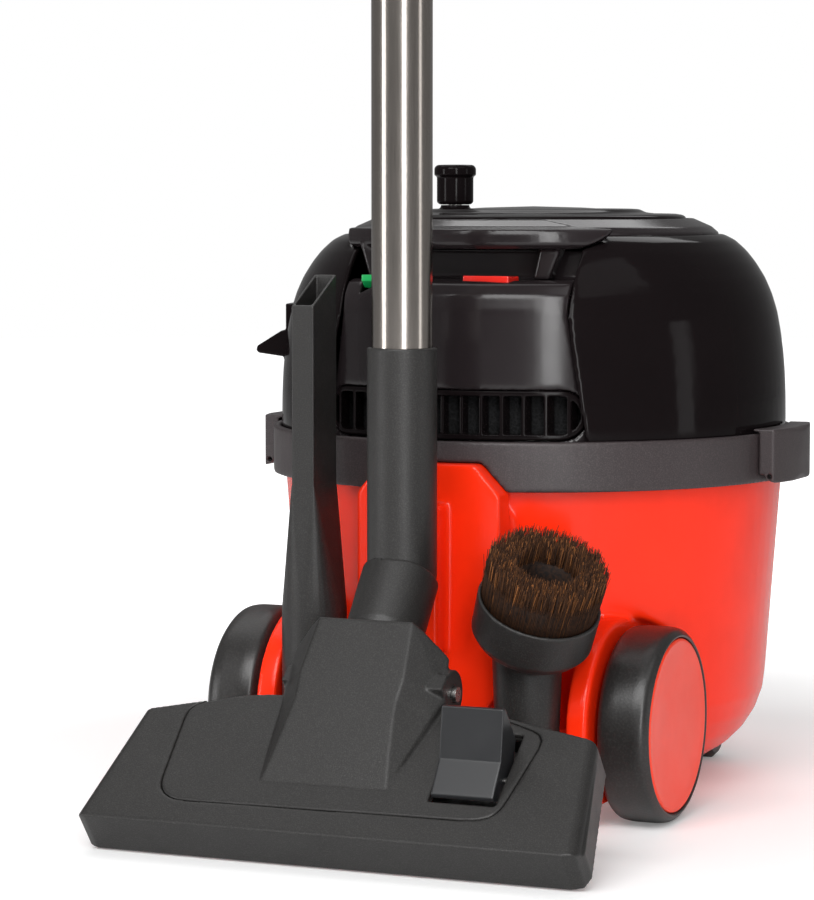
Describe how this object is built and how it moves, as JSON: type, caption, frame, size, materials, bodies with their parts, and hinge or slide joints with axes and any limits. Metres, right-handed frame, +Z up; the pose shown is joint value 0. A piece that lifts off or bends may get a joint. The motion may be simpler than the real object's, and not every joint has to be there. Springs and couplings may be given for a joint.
{
  "type": "drum vacuum cleaner",
  "caption": "Low round drum vacuum cleaner on rear wheels and casters, with a lift-off motor head, a parked steel wand with floor tool, a crevice tool and a dusting brush.",
  "frame": {"origin": "on the floor under the middle of the footprint, midway between the floor tool's front edge and the hose inlet", "axes": "+Z up along the wand, -Y towards the parked wand and floor tool, +Y towards the hose inlet, X across the rear wheels"},
  "size_m": [0.336, 0.4872, 0.7],
  "materials": {
    "drum_red": "glossy injection-moulded shell",
    "cap_red": "satin hub cap",
    "rim_grey": "dark warm grey, fine grain",
    "gloss_black": "polished black",
    "panel_grey": "semi-gloss dark grey",
    "charcoal": "matte charcoal, spark-eroded grain",
    "pedal_black": "satin-gloss blue black",
    "tyre": "black rubber, light grain",
    "wheel_black": "black wheel, satin",
    "steel_tube": "brushed stainless steel",
    "steel": "turned steel",
    "zinc": "pressed alloy",
    "copper": "enamelled winding",
    "carbon": "carbon block",
    "board": "green board",
    "bag_fleece": "fleece bag",
    "filter_cloth": "woven filter cloth",
    "foam": "open-cell foam",
    "rubber_seal": "soft seal",
    "switch_red": "red rocker",
    "switch_green": "green rocker",
    "horsehair": "brown and black bristle",
    "strip_hair": "black bristle strip"
  },
  "bodies": {
    "drum": {"drum_shell": "drum_red", "rim_ring": "rim_grey", "inlet_ring": "rim_grey", "dust_bag": "bag_fleece", "filter_cloth": "filter_cloth", "filter_ring": "rim_grey", "head_gasket": "rubber_seal", "wheel_axles": "steel", "latch_pins": "steel"},
    "wheel_left": {"wheel_left": "wheel_black", "hubcap_left": "cap_red"},
    "wheel_right": {"wheel_right": "wheel_black", "hubcap_right": "cap_red"},
    "caster_left": {"caster_fork_left": "charcoal", "caster_pins_left": "steel"},
    "caster_right": {"caster_fork_right": "charcoal", "caster_pins_right": "steel"},
    "caster_roll_left": {"caster_wheel_left": "tyre"},
    "caster_roll_right": {"caster_wheel_right": "tyre"},
    "latch_left": {"latch_left": "rim_grey"},
    "latch_right": {"latch_right": "rim_grey"},
    "head": {"head_base": "charcoal", "head_cover": "gloss_black", "rear_panel": "panel_grey", "exhaust_grille": "gloss_black", "exhaust_filter": "foam", "carry_handle": "panel_grey", "cable_outlet": "gloss_black", "fan_casing": "zinc", "motor_can": "zinc", "stator": "copper", "carbon_brushes": "carbon", "ball_bearings": "steel", "control_board": "board", "reel_bracket": "charcoal", "head_screws": "steel"},
    "rotor": {"motor_shaft": "steel", "lower_impeller": "zinc", "upper_impeller": "zinc", "armature": "copper"},
    "winder": {"winder_disc": "gloss_black", "cable_reel": "charcoal", "knob_pin": "steel"},
    "winder_knob": {"crank_knob": "gloss_black"},
    "power_switch": {"power_rocker": "switch_red"},
    "selector_switch": {"selector_rocker": "switch_green"},
    "wand": {"wand_tube": "steel_tube", "wand_sleeve": "charcoal", "neck_collar": "charcoal"},
    "floor_tool": {"tool_base": "charcoal", "tool_cover": "charcoal", "sole_plate": "zinc", "pivot_pins": "steel", "pedal_pin": "steel"},
    "pedal": {"tool_pedal": "pedal_black"},
    "tool_brushes": {"brush_strips": "strip_hair"},
    "rollers": {"tool_rollers": "tyre"},
    "crevice": {"crevice_tool": "charcoal"},
    "dusting_brush": {"brush_body": "charcoal", "brush_bristles": "horsehair"}
  },
  "joints": [
    {"name": "wheel_left_spin", "type": "hinge", "parent": "drum", "child": "wheel_left", "pos_m": [-0.118, -0.03443, 0.0548], "axis": [1, 0, 0], "continuous": true},
    {"name": "wheel_right_spin", "type": "hinge", "parent": "drum", "child": "wheel_right", "pos_m": [0.118, -0.03443, 0.0548], "axis": [1, 0, 0], "continuous": true},
    {"name": "caster_left_swivel", "type": "hinge", "parent": "drum", "child": "caster_left", "pos_m": [-0.078, 0.18957, 0.04], "axis": [0, 0, 1], "continuous": true},
    {"name": "caster_right_swivel", "type": "hinge", "parent": "drum", "child": "caster_right", "pos_m": [0.078, 0.18957, 0.04], "axis": [0, 0, 1], "continuous": true},
    {"name": "caster_left_spin", "type": "hinge", "parent": "caster_left", "child": "caster_roll_left", "pos_m": [-0.078, 0.17857, 0.017], "axis": [1, 0, 0], "continuous": true},
    {"name": "caster_right_spin", "type": "hinge", "parent": "caster_right", "child": "caster_roll_right", "pos_m": [0.078, 0.17857, 0.017], "axis": [1, 0, 0], "continuous": true},
    {"name": "latch_left_open", "type": "hinge", "parent": "drum", "child": "latch_left", "pos_m": [-0.1588, 0.08557, 0.1876], "axis": [0, -1, 0], "range_deg": [0, 60]},
    {"name": "latch_right_open", "type": "hinge", "parent": "drum", "child": "latch_right", "pos_m": [0.1588, 0.08557, 0.1876], "axis": [0, 1, 0], "range_deg": [0, 60]},
    {"name": "head_lift", "type": "slide", "parent": "drum", "child": "head", "axis": [0, 0, 1], "range_m": [0, 0.12]},
    {"name": "motor_spin", "type": "hinge", "parent": "head", "child": "rotor", "pos_m": [0, 0.08557, 0.24], "axis": [0, 0, 1], "continuous": true},
    {"name": "winder_turn", "type": "hinge", "parent": "head", "child": "winder", "pos_m": [0, 0.08557, 0.31], "axis": [0, 0, 1], "continuous": true},
    {"name": "knob_spin", "type": "hinge", "parent": "winder", "child": "winder_knob", "pos_m": [-0.0635, 0.11557, 0.352], "axis": [0, 0, 1], "continuous": true},
    {"name": "power_press", "type": "hinge", "parent": "head", "child": "power_switch", "pos_m": [0.0206, -0.03413, 0.299], "axis": [1, 0, 0], "range_deg": [-6, 6]},
    {"name": "selector_press", "type": "hinge", "parent": "head", "child": "selector_switch", "pos_m": [-0.042, -0.03413, 0.299], "axis": [1, 0, 0], "range_deg": [-6, 6]},
    {"name": "wand_lift", "type": "slide", "parent": "drum", "child": "wand", "axis": [0, 0, 1], "range_m": [0, 0.15]},
    {"name": "tool_tilt", "type": "hinge", "parent": "wand", "child": "floor_tool", "pos_m": [0, -0.15715, 0.08448], "axis": [1, 0, 0], "range_deg": [-5, 15]},
    {"name": "pedal_rock", "type": "hinge", "parent": "floor_tool", "child": "pedal", "pos_m": [0.08, -0.20116, 0.04819], "axis": [1, 0, 0], "range_deg": [-12, 0]},
    {"name": "brushes_drop", "type": "slide", "parent": "floor_tool", "child": "tool_brushes", "axis": [0, 0.6088, -0.7934], "range_m": [0, 0.0051]},
    {"name": "rollers_spin", "type": "hinge", "parent": "floor_tool", "child": "rollers", "pos_m": [0, -0.17079, 0.05133], "axis": [1, 0, 0], "continuous": true},
    {"name": "crevice_lift", "type": "slide", "parent": "drum", "child": "crevice", "axis": [0, 0, 1], "range_m": [0, 0.12]},
    {"name": "brush_lift", "type": "slide", "parent": "drum", "child": "dusting_brush", "axis": [0, 0, 1], "range_m": [0, 0.12]}
  ],
  "couplings": [
    {"joint": "brushes_drop", "follows": "pedal_rock", "m_per_rad": -0.0239}
  ]
}
